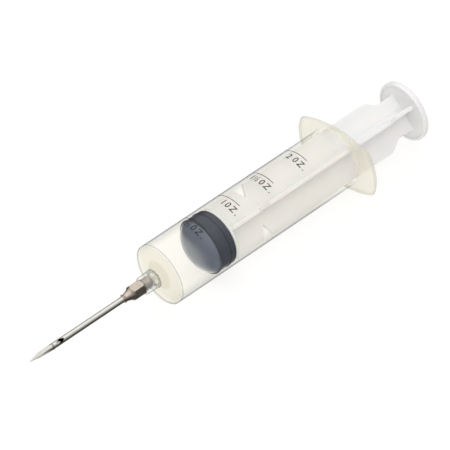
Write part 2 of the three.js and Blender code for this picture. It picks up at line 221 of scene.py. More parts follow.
class Shader:
    """A few short calls for building one node material."""

    def __init__(self, name):
        self.material = bpy.data.materials.new(name)
        self.material.use_nodes = True
        self.tree = self.material.node_tree
        self.tree.nodes.clear()
        self.out = self.add("ShaderNodeOutputMaterial")
        self.main = self.add("ShaderNodeBsdfPrincipled")
        self.link(self.main.outputs["BSDF"], self.out.inputs["Surface"])
        self.where = self.add("ShaderNodeTexCoord").outputs["Object"]

    def add(self, kind, **settings):
        node = self.tree.nodes.new(kind)
        for key, value in settings.items():
            setattr(node, key, value)
        return node

    def link(self, source, target):
        self.tree.links.new(source, target)

    def set(self, **values):
        """Constants for the main shader's sockets, with _ for the spaces in their names."""
        for key, value in values.items():
            self.main.inputs[key.replace("_", " ")].default_value = value

    def stretched(self, scale):
        """Object coordinates scaled along X, Y and Z."""
        node = self.add("ShaderNodeMapping")
        node.inputs["Scale"].default_value = scale
        self.link(self.where, node.inputs["Vector"])
        return node.outputs["Vector"]

    def noise(self, scale, detail=3.0, roughness=0.5, stretch=(1, 1, 1)):
        node = self.add("ShaderNodeTexNoise")
        node.inputs["Scale"].default_value = scale
        node.inputs["Detail"].default_value = detail
        node.inputs["Roughness"].default_value = roughness
        self.link(self.stretched(stretch), node.inputs["Vector"])
        return node.outputs["Fac"]

    def span(self, source, low, high, from_low=0.3, from_high=0.7):
        """Maps a range onto low to high. The default range is what a noise mostly covers."""
        node = self.add("ShaderNodeMapRange")
        node.inputs["From Min"].default_value = from_low
        node.inputs["From Max"].default_value = from_high
        node.inputs["To Min"].default_value = low
        node.inputs["To Max"].default_value = high
        self.link(source, node.inputs["Value"])
        return node.outputs["Result"]

    def blend(self, factor, first, second):
        """Mixes two colours, each an RGB tuple or a socket."""
        node = self.add("ShaderNodeMix", data_type="RGBA")
        self.link(factor, node.inputs["Factor"])
        for index, colour in ((MIX_FIRST, first), (MIX_SECOND, second)):
            socket = node.inputs[index]
            if isinstance(colour, tuple):
                socket.default_value = (*colour, 1)
            else:
                self.link(colour, socket)
        return node.outputs[MIX_RESULT]

    def math(self, operation, first, second):
        """One operation on two sockets or numbers, with its result kept between 0 and 1."""
        node = self.add("ShaderNodeMath", operation=operation, use_clamp=True)
        for socket, value in zip(node.inputs, (first, second)):
            if isinstance(value, (int, float)):
                socket.default_value = value
            else:
                self.link(value, socket)
        return node.outputs["Value"]

    def times(self, first, second):
        return self.math("MULTIPLY", first, second)

    def plus(self, first, second):
        return self.math("ADD", first, second)

    def bump(self, height, strength, distance_mm, normal=None):
        node = self.add("ShaderNodeBump")
        node.inputs["Strength"].default_value = strength
        node.inputs["Distance"].default_value = distance_mm * MM
        self.link(height, node.inputs["Height"])
        if normal is not None:
            self.link(normal, node.inputs["Normal"])
        return node.outputs["Normal"]

    def colour(self, socket):
        self.link(socket, self.main.inputs["Base Color"])

    def rough(self, socket):
        self.link(socket, self.main.inputs["Roughness"])

    def relief(self, socket):
        self.link(socket, self.main.inputs["Normal"])

    def axial(self):
        """The distance along the frame's X axis, in metres."""
        node = self.add("ShaderNodeSeparateXYZ")
        self.link(self.where, node.inputs["Vector"])
        return node.outputs["X"]

    def axial_band(self, start, full, fading, end):
        """1 between two stations in millimetres, falling to 0 at the outer two."""
        rise = self.span(self.axial(), 0.0, 1.0, *along_x(start, full))
        fall = self.span(self.axial(), 1.0, 0.0, *along_x(fading, end))
        return self.times(rise, fall)

    def radial(self):
        """The distance from the injector's axis, in metres."""
        shift = self.add("ShaderNodeVectorMath", operation="SUBTRACT")
        shift.inputs[1].default_value = (0, 0, AXIS_Z)
        self.link(self.where, shift.inputs[0])
        across = self.add("ShaderNodeVectorMath", operation="MULTIPLY")
        across.inputs[1].default_value = (0, 1, 1)
        self.link(shift.outputs["Vector"], across.inputs[0])
        length = self.add("ShaderNodeVectorMath", operation="LENGTH")
        self.link(across.outputs["Vector"], length.inputs[0])
        return length.outputs["Value"]

    def past_radius(self, start, full):
        """0 up to one radius in millimetres, rising to 1 at the other."""
        return self.span(self.radial(), 0.0, 1.0, start * MM, full * MM)

    def facing(self):
        """0 where the surface faces the eye, 1 where it is edge on."""
        node = self.add("ShaderNodeLayerWeight")
        node.inputs["Blend"].default_value = 0.5
        return node.outputs["Facing"]

    def see_through(self, solid_share, tint):
        """Lets part of the light straight through. solid_share is how solid the surface is."""
        clear = self.add("ShaderNodeBsdfTransparent")
        self.link(tint, clear.inputs["Color"])
        mix = self.add("ShaderNodeMixShader")
        self.link(solid_share, mix.inputs["Fac"])
        self.link(clear.outputs["BSDF"], mix.inputs[1])
        self.link(self.main.outputs["BSDF"], mix.inputs[2])
        self.link(mix.outputs["Shader"], self.out.inputs["Surface"])


def barrel_tint(look, thick, front, outer):
    """The colour that light has once it has passed the barrel's wall, darkest where it is edge on.
    Painted shade lines are added at the front cone's corner and on the flange's rim.
    """
    rim = look.times(outer, look.span(look.facing(), 0.0, 1.0, 0.65, 1.0))
    wall = look.times(outer, look.span(look.facing(), 0.0, 0.18, 0.36, 0.6))
    before_flange = look.span(look.axial(), 1.0, 0.0, *along_x(FLANGE_FRONT - 26, FLANGE_FRONT))
    sides = look.times(look.plus(wall, look.times(rim, 0.5)), before_flange)
    # Painted shade: a thin dark line in the tint just behind the rounded corner where the front cone
    # meets the barrel.
    corner = look.times(look.axial_band(0.5, 0.8, 1.1, 1.4), outer)
    # Painted shade: a dark line in the tint on the flange's rim, between its two flat faces.
    past_barrel = look.past_radius(BARREL_RADIUS + 0.7, BARREL_RADIUS + 1.0)
    edge_band = look.axial_band(FLANGE_FRONT, FLANGE_FRONT + 0.3, BARREL_END - 0.3, BARREL_END)
    flange_edge_painted_shade = look.times(edge_band, past_barrel)
    lines = look.plus(look.times(corner, 0.6), look.times(flange_edge_painted_shade, 0.33))
    # depth adds these painted shade lines to the darkening edge on.
    depth = look.plus(look.plus(look.times(rim, 0.5), sides), lines)
    body = look.blend(front, (0.995, 0.991, 0.975), (0.90, 0.885, 0.82))
    body = look.blend(thick, body, (0.965, 0.955, 0.91))
    return look.blend(depth, body, (0.46, 0.47, 0.47))


def barrel_plastic():
    """Milky polypropylene: a cream haze, more solid in the flange and edge on."""
    look = Shader("barrel_plastic")
    clouds = look.noise(60, detail=2)
    flow = look.noise(160, detail=2, stretch=(0.2, 1, 1))
    thick = look.span(look.axial(), 0.0, 1.0, *along_x(FLANGE_FRONT - 1.2, FLANGE_FRONT + 0.3))
    front = look.span(look.axial(), 1.0, 0.0, *along_x(0.1, 0.5))
    outer = look.past_radius(BARREL_RADIUS - 0.6, BARREL_RADIUS - 0.2)
    thin = look.blend(look.span(clouds, 0, 1), (0.87, 0.86, 0.80), (0.90, 0.89, 0.84))
    look.colour(look.blend(front, look.blend(thick, thin, (0.88, 0.865, 0.765)), (0.68, 0.67, 0.58)))
    look.rough(look.span(flow, 0.16, 0.24))
    look.set(IOR=1.49, Specular_IOR_Level=0.5)
    look.relief(look.bump(flow, 0.1, 0.04))
    haze = look.span(clouds, 0.018, 0.026)
    edge = look.times(outer, look.span(look.facing(), 0.0, 0.06, 0.6, 1.0))
    solid = look.plus(look.plus(haze, edge), look.times(thick, 0.28))
    look.see_through(solid, barrel_tint(look, thick, front, outer))
    return look.material


def collar_plastic():
    """Clear plastic, darker edge on, with a painted shade line round its foot where it meets the
    barrel.
    """
    look = Shader("collar_plastic")
    flow = look.noise(700, detail=2, stretch=(0.3, 1, 1))
    look.colour(look.blend(look.span(flow, 0, 1), (0.84, 0.85, 0.82), (0.90, 0.90, 0.88)))
    look.rough(look.span(flow, 0.04, 0.08))
    look.set(IOR=1.52)
    look.relief(look.bump(flow, 0.1, 0.03))
    edge = look.span(look.facing(), 0.0, 0.4, 0.45, 1.0)
    # Painted shade: a dark ring in the tint at the foot, where the collar meets the barrel's front;
    # depth carries it into the tint.
    foot = look.axial_band(COLLAR_BACK - 0.5, COLLAR_BACK - 0.4, COLLAR_BACK, COLLAR_BACK + 0.1)
    depth = look.plus(look.span(look.facing(), 0.0, 1.0, 0.5, 0.95), look.times(foot, 0.6))
    tint = look.blend(depth, (0.975, 0.975, 0.97), (0.34, 0.34, 0.33))
    look.see_through(look.plus(look.span(flow, 0.09, 0.14), edge), tint)
    return look.material


def rod_plastic():
    """White plastic with a satin skin that light goes a little way into."""
    look = Shader("rod_plastic")
    clouds = look.noise(45, detail=2)
    grain = look.noise(2600, detail=4)
    flow = look.noise(500, detail=3, stretch=(0.15, 1, 1))
    look.colour(look.blend(look.span(clouds, 0, 1), (0.76, 0.76, 0.755), (0.80, 0.80, 0.795)))
    look.rough(look.span(flow, 0.34, 0.46))
    look.set(IOR=1.49, Subsurface_Weight=0.15, Subsurface_Scale=0.004)
    look.relief(look.bump(grain, 0.12, 0.03, look.bump(flow, 0.15, 0.06)))
    return look.material


def seal_rubber():
    """Blue-grey rubber: a shiny dome, with painted shade that makes its sides darker and its lips
    near-black.
    """
    look = Shader("seal_rubber")
    clouds = look.noise(130, detail=3)
    grain = look.noise(3200, detail=3)
    dome = look.blend(look.span(clouds, 0, 1), (0.09, 0.108, 0.16), (0.106, 0.126, 0.182))
    # Painted shade: the sides are coloured darker than the dome, and the lips, which press on the
    # barrel's wall, near-black.
    side = look.past_radius(DOME_RADIUS - 0.15, DOME_RADIUS + 0.05)
    lip = look.past_radius(SEAL_SIDE_RADIUS + 0.1, SEAL_SIDE_RADIUS + 0.2)
    look.colour(look.blend(lip, look.blend(side, dome, (0.017, 0.023, 0.047)), (0.001, 0.001, 0.002)))
    look.rough(look.span(grain, 0.26, 0.34))
    look.set(IOR=1.5, Specular_IOR_Level=0.35, Coat_Roughness=0.12)
    gloss = look.span(look.radial(), 0.7, 0.0, (DOME_RADIUS - 0.35) * MM, (DOME_RADIUS + 0.05) * MM)
    look.link(gloss, look.main.inputs["Coat Weight"])
    look.relief(look.bump(grain, 0.12, 0.02))
    return look.material


def washer_rubber():
    """Soft pale rubber with a fine grain."""
    look = Shader("washer_rubber")
    grain = look.noise(2500, detail=3)
    look.colour(look.blend(look.span(grain, 0, 1), (0.42, 0.40, 0.36), (0.5, 0.48, 0.44)))
    look.rough(look.span(grain, 0.55, 0.7))
    look.relief(look.bump(grain, 0.2, 0.03))
    return look.material


def hub_metal():
    """Nickel plate over brass: warm grey, with the cutter's fine marks along the flats."""
    look = Shader("hub_metal")
    tool = look.noise(3600, detail=2, stretch=(0.04, 1, 1))
    stain = look.noise(420, detail=4)
    look.colour(look.blend(look.span(stain, 0, 1), (0.56, 0.48, 0.40), (0.68, 0.60, 0.52)))
    look.rough(look.span(tool, 0.2, 0.32))
    look.set(Metallic=1.0)
    look.relief(look.bump(tool, 0.4, 0.03))
    return look.material


def needle_steel():
    """Polished stainless tube with faint drawing lines along it."""
    look = Shader("needle_steel")
    lines = look.noise(4200, detail=3, stretch=(0.03, 1, 1))
    stain = look.noise(260, detail=3)
    look.colour(look.blend(look.span(stain, 0, 1), (0.76, 0.73, 0.67), (0.84, 0.82, 0.77)))
    look.rough(look.span(lines, 0.1, 0.18))
    look.set(Metallic=1.0)
    look.relief(look.bump(lines, 0.15, 0.015))
    return look.material


def solder_metal():
    """Brown-grey solder, lumpy at a fine scale."""
    look = Shader("solder_metal")
    lumps = look.noise(1500, detail=4)
    look.colour(look.blend(look.span(lumps, 0, 1), (0.40, 0.31, 0.24), (0.56, 0.47, 0.39)))
    look.rough(look.span(lumps, 0.28, 0.42))
    look.set(Metallic=1.0)
    look.relief(look.bump(lumps, 0.4, 0.04))
    return look.material


def print_ink():
    """Black ink, nearly without a sheen."""
    look = Shader("print_ink")
    speckle = look.noise(2800, detail=4)
    look.colour(look.blend(look.span(speckle, 0, 1), (0.012, 0.012, 0.014), (0.026, 0.026, 0.029)))
    look.rough(look.span(speckle, 0.4, 0.6))
    look.set(Specular_IOR_Level=0.15)
    return look.material


def floor_paper():
    """White paper that glows a little, so that shadows on it stay faint."""
    look = Shader("floor_paper")
    fibre = look.noise(900, detail=4)
    look.colour(look.blend(look.span(fibre, 0, 1), (0.17, 0.17, 0.17), (0.19, 0.19, 0.19)))
    look.rough(look.span(fibre, 0.85, 0.95))
    look.set(Specular_IOR_Level=0.1, Emission_Color=(1.0, 0.995, 0.98, 1.0), Emission_Strength=0.83)
    return look.material


# ---- Barrel and finger flange ----

def flange_reach(angle):
    """How far the flange's outline is from the axis: a disc with two flatter sides."""
    up, out = abs(math.sin(angle)), abs(math.cos(angle))
    centre = FLANGE_SIDE_RADIUS - FLANGE_HALF_WIDTH
    end_reach = FLANGE_HALF_LENGTH - FLANGE_CORNER
    side_reach = FLANGE_SIDE_RADIUS - FLANGE_CORNER
    corner_z = (side_reach ** 2 - end_reach ** 2 - centre ** 2) / (2 * centre)
    corner_y = math.sqrt(end_reach ** 2 - corner_z ** 2)
    first = math.atan2(corner_z, corner_y)
    side_turn = math.atan2(corner_z + centre, corner_y)
    second = math.atan2(
        FLANGE_SIDE_RADIUS * math.sin(side_turn) - centre, FLANGE_SIDE_RADIUS * math.cos(side_turn)
    )
    turn = math.atan2(up, out)
    if turn <= first:
        return FLANGE_HALF_LENGTH
    if turn >= second:
        return math.sqrt(FLANGE_SIDE_RADIUS ** 2 - (centre * out) ** 2) - centre * up
    toward = corner_y * out + corner_z * up
    aside = corner_y * up - corner_z * out
    return toward + math.sqrt(FLANGE_CORNER ** 2 - aside ** 2)


def cone_station(radius):
    """The station of the barrel's front cone at a radius."""
    return -(BARREL_RADIUS - radius) * CONE_SLOPE


def barrel_shell(material):
    count = 288
    turns = [2 * math.pi * j / count for j in range(count)]
    inner_shift = FRONT_WALL * math.hypot(1, CONE_SLOPE)
    fillet, edge = 1.1, 0.45
    mouth_ease, stop_reach = 0.6, 0.6

    def around(shape):
        """A ring whose station and radius both depend on the turn."""
        ring = []
        for turn in turns:
            station, radius = shape(turn)
            ring.append((station, radius * math.cos(turn), radius * math.sin(turn)))
        return ring

    def fillet_at(share):
        """A ring of the fillet between the barrel and the flange, smaller where the flange is low."""
        def shape(turn):
            size = min(fillet, flange_reach(turn) - BARREL_RADIUS - edge - 0.2)
            swing = share * math.pi / 2
            return (
                FLANGE_FRONT - size + size * math.sin(swing),
                BARREL_RADIUS + size - size * math.cos(swing),
            )
        return around(shape)

    def rim(inset, station):
        """A ring just inside the flange's outline."""
        return around(lambda turn: (station, flange_reach(turn) - inset))

    def plate(share, station, inner):
        """A ring on the flange's flat face, part of the way from a radius to its outline."""
        return around(
            lambda turn: (station, inner + (flange_reach(turn) - edge - inner) * share)
        )

    outside = softened([
        (BOSS_BORE_RADIUS, BOSS_FRONT, 0),
        (BOSS_RADIUS, BOSS_FRONT, 0.25),
        (BOSS_RADIUS, -CONE_DEPTH, 0.3),
        (CONE_TOP_RADIUS, -CONE_DEPTH, 0.4),
        (BARREL_RADIUS, 0.0, 0.6),
        (BARREL_RADIUS, 20.0, 0),
    ], steps=7)
    rings = [circle(station, radius, count) for radius, station in outside]
    rings += [circle(station, BARREL_RADIUS, count) for station in along(30, 110, 8)]
    rings += [fillet_at(share) for share in along(0, 1, 7)]
    rings.append(plate(1.0, FLANGE_FRONT, BARREL_RADIUS + fillet))
    for swing in along(0, math.pi / 2, 4)[1:]:
        inset = edge * (1 - math.sin(swing))
        rings.append(rim(inset, FLANGE_FRONT + edge * (1 - math.cos(swing))))
    for swing in along(0, math.pi / 2, 4):
        inset = edge * (1 - math.cos(swing))
        rings.append(rim(inset, BARREL_END - edge * (1 - math.sin(swing))))
    rings.append(plate(0.35, BARREL_END, BORE_RADIUS + mouth_ease))
    inside = softened([
        (BORE_RADIUS + mouth_ease, BARREL_END, 0),
        (BORE_RADIUS, BARREL_END, 0.4),
        (BORE_RADIUS, STOP_STATION + stop_reach, 0.2),
        (BORE_RADIUS - STOP_HEIGHT, STOP_STATION, 0.5),
        (BORE_RADIUS, STOP_STATION - stop_reach, 0.2),
        (BORE_RADIUS, cone_station(BORE_RADIUS) + inner_shift, 0.8),
        (BOSS_BORE_RADIUS, cone_station(BOSS_BORE_RADIUS) + inner_shift, 0.3),
        (BOSS_BORE_RADIUS, BOSS_FRONT + 0.1, 0),
    ])
    rings += [circle(station, radius, count) for radius, station in inside]
    vertices, faces = loft(rings, closed=True)
    return make_piece("barrel_shell", vertices, faces, material, "barrel",
                      nodes=["barrel"], sharp=40)


# ---- Threads, collar, washer and hub ----

def thread_ridge(station, angle, shift):
    """Height of a right-hand helical ridge, from 0 to 1."""
    turns = station / THREAD_PITCH - angle / (2 * math.pi) + shift
    return 0.5 + 0.5 * math.cos(2 * math.pi * turns)


def threaded_rings(radius, depth, start, end, count, shift):
    """Rings along a thread that fades out at both ends; depth is negative for an inside thread."""
    rings_per_turn, run_out = 20, THREAD_PITCH / 2
    steps = round(abs(end - start) / THREAD_PITCH * rings_per_turn)
    rings = []
    for station in along(start, end, steps):
        fade = min(1, abs(station - start) / run_out, abs(end - station) / run_out)
        ring = []
        for j in range(count):
            angle = 2 * math.pi * j / count
            wall = radius + depth * fade * thread_ridge(station, angle, shift)
            ring.append((station, wall * math.cos(angle), wall * math.sin(angle)))
        rings.append(ring)
    return rings


def lock_collar(material):
    count = 96
    inner = THREAD_ROOT + THREAD_DEPTH + THREAD_GAP
    outside = softened([
        (inner + 0.4, COLLAR_FRONT, 0),
        (COLLAR_RIM_RADIUS, COLLAR_FRONT, 0.3),
        (COLLAR_RADIUS, COLLAR_FRONT + 0.9, 0.3),
        (COLLAR_RADIUS, COLLAR_FRONT + 1.5, 0.2),
        (COLLAR_FOOT_RADIUS - 0.2, COLLAR_BACK - 1.0, 0.4),
        (COLLAR_FOOT_RADIUS, COLLAR_BACK - 0.5, 0.2),
        (COLLAR_FOOT_RADIUS, COLLAR_BACK, 0.15),
        (inner, COLLAR_BACK, 0),
    ])
    rings = [circle(station, radius, count) for radius, station in outside]
    rings += threaded_rings(inner, -THREAD_DEPTH, BOSS_FRONT - 0.7, COLLAR_FRONT + 0.4, count, 0.5)
    vertices, faces = loft(rings, closed=True)
    return make_piece("collar_clear", vertices, faces, material, "barrel",
                      nodes=["lock_collar"], sharp=45)


def hub_washer(material):
    edge = 0.15
    profile = softened([
        (WASHER_BORE_RADIUS, WASHER_FRONT, 0),
        (WASHER_RADIUS - edge, WASHER_FRONT, 0),
        (WASHER_RADIUS, WASHER_FRONT + edge, 0.1),
        (WASHER_RADIUS, WASHER_BACK - edge, 0.1),
        (WASHER_RADIUS - edge, WASHER_BACK, 0),
        (WASHER_BORE_RADIUS, WASHER_BACK, 0),
    ])
    vertices, faces = turned(profile, 64, closed=True)
    return make_piece("washer_ring", vertices, faces, material, "washer",
                      nodes=["hub_washer"])


def hex_ring(station, radius, count):
    """A circle cut down to the hexagon's flats, with its corners slightly eased."""
    ring = []
    for j in range(count):
        angle = HEX_CORNER_ANGLE + 2 * math.pi * j / count
        from_flat = (angle - HEX_CORNER_ANGLE) % (math.pi / 3) - math.pi / 6
        reach = min(radius, HEX_FLATS / 2 / math.cos(from_flat))
        ring.append((station, reach * math.cos(angle), reach * math.sin(angle)))
    return ring


def needle_hub(material):
    count = 144
    corner = HEX_FLATS / math.sqrt(3) - 0.06
    outside = softened([
        (TUBE_SOCKET_RADIUS, HUB_FRONT, 0),
        (NECK_RADIUS - 0.17, HUB_FRONT, 0.1),
        (NECK_RADIUS, HUB_FRONT + 0.2, 0.1),
        (NECK_RADIUS, HUB_FRONT + 0.5, 0.1),
        (NECK_GROOVE_RADIUS, HUB_FRONT + 0.65, 0.08),
        (NECK_RADIUS, HUB_FRONT + 0.8, 0.08),
        (NECK_RADIUS, HUB_FRONT + 1.05, 0.1),
        (NECK_RADIUS - 0.26, HUB_FRONT + 1.3, 0.1),
        (NECK_RADIUS, HUB_FRONT + 2.3, 0.5),
        (HEX_END_RADIUS - 0.65, HEX_FRONT - 0.9, 0.5),
        (HEX_END_RADIUS, HEX_FRONT, 0.08),
    ])
    rings = [circle(station, radius, count, HEX_CORNER_ANGLE) for radius, station in outside]
    # Each end of the hexagon is turned off to a cone, as (radius, distance from the end).
    front_cone = ((HEX_END_RADIUS, 0.0), (3.6, 0.28), (3.8, 0.5), (3.95, 0.72), (corner, 1.05))
    back_cone = ((corner, 0.4), (3.95, 0.18), (3.75, 0.0))
    rings += [hex_ring(HEX_FRONT + inward, radius, count) for radius, inward in front_cone]
    rings += [hex_ring(station, corner, count) for station in along(HEX_FRONT + 2, HEX_BACK - 1, 4)]
    rings += [hex_ring(HEX_BACK - inward, radius, count) for radius, inward in back_cone]
    rings.append(circle(HEX_BACK, HEX_END_RADIUS, count, HEX_CORNER_ANGLE))
    rings.append(circle(HEX_BACK, THREAD_ROOT, count, HEX_CORNER_ANGLE))
    tail = threaded_rings(THREAD_ROOT, THREAD_DEPTH, HEX_BACK + 0.05, TAIL_END - 0.3, count, 0.0)
    # The tail's rings start at the same angle as the others.
    first = round(HEX_CORNER_ANGLE / (2 * math.pi) * count)
    rings += [ring[first:] + ring[:first] for ring in tail]
    socket_floor = TUBE_END + 0.3
    bore = (
        (THREAD_ROOT - 0.25, TAIL_END), (TAIL_BORE_RADIUS, TAIL_END),
        (TAIL_BORE_RADIUS, socket_floor), (TUBE_SOCKET_RADIUS, socket_floor),
    )
    rings += [circle(station, radius, count, HEX_CORNER_ANGLE) for radius, station in bore]
    vertices, faces = loft(rings, closed=True)
    return make_piece("hub_body", vertices, faces, material, "needle",
                      nodes=["needle_hub"], sharp=28)


# ---- Needle ----

def cut_with(piece, cutter):
    """Cuts one object out of another for good, and drops the cutter."""
    cut = piece.modifiers.new("cut", "BOOLEAN")
    cut.operation = "DIFFERENCE"
    cut.solver = "EXACT"
    cut.object = cutter
    bpy.context.view_layer.update()
    depsgraph = bpy.context.evaluated_depsgraph_get()
    mesh = bpy.data.meshes.new_from_object(piece.evaluated_get(depsgraph))
    piece.modifiers.clear()
    old = piece.data
    piece.data = mesh
    bpy.data.meshes.remove(old)
    bpy.data.objects.remove(cutter)
    mesh.shade_smooth()
    mesh.set_sharp_from_angle(angle=math.radians(SHARP_DEGREES))


def hole_cutter():
    """An oval plug that widens outwards, across the needle's wall at the side hole."""
    outline = [(HOLE_HALF_LENGTH * u, HOLE_HALF_WIDTH * v) for _, u, v in circle(0, 1, 48)]
    across = Vector((0, -math.sin(HOLE_ANGLE), math.cos(HOLE_ANGLE)))
    outward = Vector((0, math.cos(HOLE_ANGLE), math.sin(HOLE_ANGLE)))
    rings = []
    for reach, flare in ((2.4, 1.25), (1.4, 1.0), (0.2, 0.92)):
        centre = Vector((HOLE_STATION, 0, 0)) + outward * reach
        ring = [centre + Vector((u * flare, 0, 0)) + across * v * flare for u, v in outline]
        rings.append([tuple(point) for point in ring])
    vertices, faces = loft(rings)
    mesh = bpy.data.meshes.new("hole_cutter")
    mesh.from_pydata([place(*point) for point in vertices], [], faces)
    cutter = bpy.data.objects.new("hole_cutter", mesh)
    bpy.context.scene.collection.objects.link(cutter)
    return cutter


def needle_tube(material):
    inner = NEEDLE_RADIUS - NEEDLE_WALL
    stations = along(NEEDLE_SEAM + 2.2, TUBE_END - 2.8, 11)
    profile = [(inner, NEEDLE_SEAM), (NEEDLE_RADIUS, NEEDLE_SEAM)]
    profile += [(NEEDLE_RADIUS, station) for station in stations]
    profile += [(NEEDLE_RADIUS, TUBE_END), (inner, TUBE_END)]
    profile += [(inner, station) for station in reversed(stations)]
    vertices, faces = turned(profile, 96, closed=True)
    tube = make_piece("tube_steel", vertices, faces, material, "needle",
                      nodes=["needle_tube"])
    cut_with(tube, hole_cutter())
    return tube


def facet_ring(station, count):
    """The needle's round section where the three ground facets leave it, else the facets."""
    facets = 3
    depth = max(SMALLEST_RADIUS, (station - NEEDLE_TIP) * math.tan(FACET_ANGLE))
    ring = []
    for j in range(count):
        turn = 2 * math.pi * j / count
        angle = POINT_EDGE_ANGLE + turn
        from_facet = turn % (2 * math.pi / facets) - math.pi / facets
        reach = min(NEEDLE_RADIUS, depth / math.cos(from_facet))
        ring.append((station, reach * math.cos(angle), reach * math.sin(angle)))
    return ring


def needle_point(material):
    """The ground point, with a spigot that goes into the tube."""
    count = 96
    shoulder = NEEDLE_SEAM - 0.02
    spigot_radius, spigot_length = 1.0, 1.5
    rings = [facet_ring(station, count) for station in along(NEEDLE_TIP, shoulder, 60)]
    for station in (shoulder, shoulder + spigot_length):
        rings.append(circle(station, spigot_radius, count, POINT_EDGE_ANGLE))
    vertices, faces = loft(rings)
    return make_piece("point_steel", vertices, faces, material, "needle",
                      nodes=["needle_point"], sharp=25)


def solder_seam(material):
    """A low bead of solder round the joint of the point and the tube."""
    half_width, height, foot, inner = 0.5, 0.09, NEEDLE_RADIUS - 0.03, 1.0
    profile = [(inner, NEEDLE_SEAM - half_width)]
    for swing in along(0, math.pi, 10):
        profile.append((foot + height * math.sin(swing), NEEDLE_SEAM - half_width * math.cos(swing)))
    profile.append((inner, NEEDLE_SEAM + half_width))
    vertices, faces = turned(profile, 72, closed=True)
    return make_piece("solder_seam", vertices, faces, material, "needle")


# ---- Piston seal ----

def piston_seal(material):
    """The dome, a lip at its edge, a second lip behind it and the pocket for the rod's head."""
    crest, foot, ease, edge = 0.2, 0.35, 0.05, 0.4
    pocket_front, pocket_back = HEAD_FRONT - POCKET_GAP, HEAD_BACK + POCKET_GAP
    profile = softened([
        (0.0, SEAL_FRONT - 5.9, 0),
        (4.5, SEAL_FRONT - 5.7, 2.5),
        (8.5, SEAL_FRONT - 4.8, 2.0),
        (11.8, SEAL_FRONT - 3.0, 2.0),
        (13.7, SEAL_FRONT - 0.9, 0.8),
        (DOME_RADIUS, SEAL_FRONT - 0.3, 0.1),
        (LIP_RADIUS, SEAL_FRONT - crest, ease),
        (LIP_RADIUS, SEAL_FRONT + crest, ease),
        (SEAL_SIDE_RADIUS, SEAL_FRONT + foot, ease),
        (SEAL_SIDE_RADIUS, SEAL_SECOND - foot, ease),
        (LIP_RADIUS, SEAL_SECOND - crest, ease),
        (LIP_RADIUS, SEAL_SECOND + crest, ease),
        (SEAL_SIDE_RADIUS, SEAL_SECOND + foot, ease),
        (SEAL_SIDE_RADIUS, SEAL_END - edge, 0.3),
        (SEAL_SIDE_RADIUS - edge, SEAL_END, 0.2),
        (POCKET_MOUTH_RADIUS, SEAL_END, 0.2),
        (POCKET_MOUTH_RADIUS, pocket_back, 0),
        (POCKET_RADIUS, pocket_back, 0),
        (POCKET_RADIUS, pocket_front, 0),
        (0.0, pocket_front, 0),
    ], steps=6)
    rings = [circle(station, max(radius, SMALLEST_RADIUS), 224) for radius, station in profile]
    vertices, faces = loft(rings)
    return make_piece("seal_body", vertices, faces, material, "piston",
                      nodes=["piston_seal"], sharp=35)


# ---- Plunger rod ----

def cross_ring(station, reach, side_steps=26):
    """A four-armed section with small fillets between its arms and eased outer corners."""
    half, ease, fillet = RIB_HALF_THICKNESS, 0.35, 0.9
    inner = half + fillet
    arm = []
    for swing in along(math.pi / 4, math.pi / 2, 4)[1:]:
        arm.append((inner - fillet * math.sin(math.pi / 2 - swing), inner - fillet * math.sin(swing)))
    first, last = math.atan2(half, inner), math.atan2(half, reach - ease)
    for turn in along(first, last, side_steps)[1:]:
        arm.append((half / math.tan(turn), half))
    for swing in along(0, math.pi / 2, 4)[1:]:
        arm.append((reach - ease + ease * math.sin(swing), half - ease + ease * math.cos(swing)))
    arm.append((reach, 0.0))
    mirrored = [(a, -b) for a, b in reversed(arm[:-1])]
    corner = inner - fillet * math.sin(math.pi / 4)
    half_arm = [(corner, corner)] + arm + mirrored
    ring = []
    for quarter in range(4):
        turn = RIB_ANGLE - quarter * math.pi / 2
        for a, b in half_arm:
            y = a * math.cos(turn) - b * math.sin(turn)
            z = a * math.sin(turn) + b * math.cos(turn)
            ring.append((station, y, z))
    return ring[::-1]


def disc_ring(station, radius, like):
    """A circle whose points lie at the same angles as those of another ring."""
    ring = []
    for _, y, z in like:
        size = math.hypot(y, z)
        ring.append((station, radius * y / size, radius * z / size))
    return ring


def sloped(start, end, steps):
    """Ribbed sections between two (station, reach) points, without the two themselves."""
    stations, reaches = (along(a, b, steps)[1:-1] for a, b in zip(start, end))
    return [cross_ring(station, reach) for station, reach in zip(stations, reaches)]


def rib_sections():
    """The four ribs from the guide disc to the thumb disc, with their notch and their waist."""
    foot = 0.8
    rings = []
    for swing in along(0, math.pi / 2, 3):
        reach = RIB_RADIUS - foot * math.cos(swing)
        rings.append(cross_ring(GUIDE_BACK + foot * math.sin(swing), reach))
    rings += [cross_ring(station, RIB_RADIUS) for station in (45, 52, NOTCH_FRONT - 0.4)]

    top = RIB_RADIUS - 0.1
    rings += sloped((NOTCH_FRONT, top), (NOTCH_FLOOR_FRONT, NOTCH_RADIUS), 6)
    rings.append(cross_ring(NOTCH_FLOOR_FRONT + 0.15, NOTCH_RADIUS))
    rings.append(cross_ring(NOTCH_FLOOR_BACK, NOTCH_RADIUS + 0.05))
    rings += sloped((NOTCH_FLOOR_BACK, NOTCH_RADIUS + 0.05), (NOTCH_BACK, top), 6)

    straight = (NOTCH_BACK + 0.15, NOTCH_BACK + 0.6, *along(75, 138, 6), WAIST_START)
    rings += [cross_ring(station, RIB_RADIUS) for station in straight]
    for share in along(0, 1, 12)[1:]:
        narrowing = (RIB_RADIUS - WAIST_RADIUS) * share * share * (3 - 2 * share)
        station = WAIST_START + (WAIST_END - WAIST_START) * share
        rings.append(cross_ring(station, RIB_RADIUS - narrowing))
    foot_start = THUMB_FRONT - FOOT_LENGTH
    rings += [cross_ring(station, WAIST_RADIUS) for station in (154, foot_start)]
    for swing in along(0, math.pi / 2, 6)[1:]:
        reach = WAIST_RADIUS + FOOT_FLARE * (1 - math.cos(swing))
        rings.append(cross_ring(foot_start + FOOT_LENGTH * math.sin(swing), reach))
    return rings


